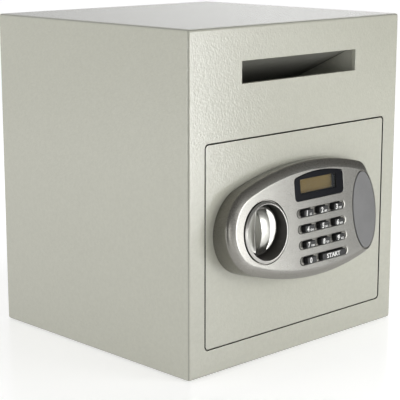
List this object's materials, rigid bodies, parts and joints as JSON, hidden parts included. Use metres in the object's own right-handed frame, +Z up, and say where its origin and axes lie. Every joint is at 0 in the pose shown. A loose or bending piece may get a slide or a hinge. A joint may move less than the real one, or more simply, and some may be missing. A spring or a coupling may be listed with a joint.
{
  "type": "drop safe with deposit slot",
  "caption": "Steel drop safe with a front deposit slot above a hinged door that carries an electronic keypad lock with a round turn knob.",
  "frame": {"origin": "middle of the underside of the steel cabinet", "axes": "+X to the right seen from the front, +Y to the back, +Z up; the door and lock face -Y"},
  "size_m": [0.35, 0.3663, 0.38],
  "materials": {
    "powder_grey": "light grey powder coat with a fine orange-peel texture",
    "zinc_steel": "zinc-plated mild steel",
    "silver_plastic": "moulded ABS with metallic silver paint, satin",
    "bright_chrome": "bright chrome plate",
    "dark_plastic": "dark grey moulded plastic",
    "black_gloss": "black moulded plastic, gloss",
    "black_rubber": "black silicone key rubber",
    "amber_display": "amber liquid-crystal panel",
    "clear_lens": "clear acrylic lens",
    "cover_grey": "mid-grey moulded plastic, matte",
    "board_green": "green solder-masked board",
    "brass": "turned brass, satin",
    "grey_felt": "grey needled felt",
    "red_plastic": "red moulded plastic",
    "cell_jacket": "plain printed cell jacket"
  },
  "bodies": {
    "cabinet": {"body_shell": "powder_grey", "back_plate": "powder_grey", "front_frame": "powder_grey", "door_jamb": "powder_grey", "hinge_pin_top": "zinc_steel", "hinge_pin_bottom": "zinc_steel", "chute_deflector": "powder_grey", "chute_cheek_left": "powder_grey", "chute_cheek_right": "powder_grey", "chute_ramp": "powder_grey", "floor_mat": "grey_felt"},
    "door": {"door_plate": "powder_grey", "hinge_block_top": "zinc_steel", "hinge_block_bottom": "zinc_steel", "lock_housing": "silver_plastic", "knob_cup": "dark_plastic", "display_bezel": "black_gloss", "display_window": "clear_lens", "display_lcd": "amber_display", "keypad_board": "board_green", "override_cylinder": "brass", "bolt_guide_lower": "zinc_steel", "bolt_guide_upper": "zinc_steel", "solenoid_body": "zinc_steel", "housing_screw_1": "zinc_steel", "housing_screw_2": "zinc_steel", "battery_holder": "black_gloss", "battery_1": "cell_jacket", "battery_2": "cell_jacket", "battery_3": "cell_jacket", "battery_4": "cell_jacket", "inner_cover": "powder_grey", "cover_screw_1": "zinc_steel", "cover_screw_2": "zinc_steel", "cover_screw_3": "zinc_steel", "cover_screw_4": "zinc_steel", "reset_switch": "black_gloss"},
    "knob_body": {"knob": "bright_chrome", "knob_spindle": "zinc_steel", "drive_cam": "zinc_steel"},
    "bolt_body": {"bolt_bar": "zinc_steel", "bolt_lower": "bright_chrome", "bolt_upper": "bright_chrome"},
    "key_1_body": {"key_1": "black_rubber"},
    "key_2_body": {"key_2": "black_rubber"},
    "key_3_body": {"key_3": "black_rubber"},
    "key_4_body": {"key_4": "black_rubber"},
    "key_5_body": {"key_5": "black_rubber"},
    "key_6_body": {"key_6": "black_rubber"},
    "key_7_body": {"key_7": "black_rubber"},
    "key_8_body": {"key_8": "black_rubber"},
    "key_9_body": {"key_9": "black_rubber"},
    "key_0_body": {"key_0": "black_rubber"},
    "key_enter_body": {"key_enter": "black_rubber"},
    "override_cover_body": {"override_cover": "cover_grey"},
    "override_plug_body": {"override_plug": "brass"},
    "battery_cover_body": {"battery_cover": "black_gloss"},
    "reset_button_body": {"reset_button": "red_plastic"},
    "plunger_body": {"solenoid_plunger": "bright_chrome"}
  },
  "joints": [
    {"name": "door_hinge", "type": "hinge", "parent": "cabinet", "child": "door", "pos_m": [0.1268, -0.156, 0.1434], "axis": [0, 0, 1], "range_deg": [0, 95]},
    {"name": "knob_turn", "type": "hinge", "parent": "door", "child": "knob_body", "pos_m": [-0.082, -0.18, 0.156], "axis": [0, -1, 0], "range_deg": [0, 90]},
    {"name": "bolt_throw", "type": "slide", "parent": "door", "child": "bolt_body", "axis": [-1, 0, 0], "range_m": [0, 0.016]},
    {"name": "key_1_press", "type": "slide", "parent": "door", "child": "key_1_body", "axis": [0, 0.9936, -0.1132], "range_m": [0, 0.0012], "stiffness_N_per_m": 500},
    {"name": "key_2_press", "type": "slide", "parent": "door", "child": "key_2_body", "axis": [0, 0.9936, -0.1132], "range_m": [0, 0.0012], "stiffness_N_per_m": 500},
    {"name": "key_3_press", "type": "slide", "parent": "door", "child": "key_3_body", "axis": [0, 0.9936, -0.1132], "range_m": [0, 0.0012], "stiffness_N_per_m": 500},
    {"name": "key_4_press", "type": "slide", "parent": "door", "child": "key_4_body", "axis": [0, 0.9936, -0.1132], "range_m": [0, 0.0012], "stiffness_N_per_m": 500},
    {"name": "key_5_press", "type": "slide", "parent": "door", "child": "key_5_body", "axis": [0, 0.9936, -0.1132], "range_m": [0, 0.0012], "stiffness_N_per_m": 500},
    {"name": "key_6_press", "type": "slide", "parent": "door", "child": "key_6_body", "axis": [0, 0.9936, -0.1132], "range_m": [0, 0.0012], "stiffness_N_per_m": 500},
    {"name": "key_7_press", "type": "slide", "parent": "door", "child": "key_7_body", "axis": [0, 0.9936, -0.1132], "range_m": [0, 0.0012], "stiffness_N_per_m": 500},
    {"name": "key_8_press", "type": "slide", "parent": "door", "child": "key_8_body", "axis": [0, 0.9936, -0.1132], "range_m": [0, 0.0012], "stiffness_N_per_m": 500},
    {"name": "key_9_press", "type": "slide", "parent": "door", "child": "key_9_body", "axis": [0, 0.9936, -0.1132], "range_m": [0, 0.0012], "stiffness_N_per_m": 500},
    {"name": "key_0_press", "type": "slide", "parent": "door", "child": "key_0_body", "axis": [0, 0.9936, -0.1132], "range_m": [0, 0.0012], "stiffness_N_per_m": 500},
    {"name": "key_enter_press", "type": "slide", "parent": "door", "child": "key_enter_body", "axis": [0, 0.9936, -0.1132], "range_m": [0, 0.0012], "stiffness_N_per_m": 500},
    {"name": "override_cover_pull", "type": "slide", "parent": "door", "child": "override_cover_body", "axis": [0, -0.9936, 0.1132], "range_m": [0, 0.012]},
    {"name": "override_turn", "type": "hinge", "parent": "door", "child": "override_plug_body", "pos_m": [0.0865, -0.165, 0.156], "axis": [0, -1, 0], "range_deg": [0, 90]},
    {"name": "battery_cover_pull", "type": "slide", "parent": "door", "child": "battery_cover_body", "axis": [0, 1, 0], "range_m": [0, 0.015]},
    {"name": "reset_press", "type": "slide", "parent": "door", "child": "reset_button_body", "axis": [0, -1, 0], "range_m": [0, 0.0015], "stiffness_N_per_m": 400},
    {"name": "plunger_drop", "type": "slide", "parent": "door", "child": "plunger_body", "axis": [0, 0, -1], "range_m": [0, 0.005]}
  ],
  "couplings": [
    {"joint": "bolt_throw", "follows": "knob_turn", "m_per_rad": 0.01018}
  ]
}
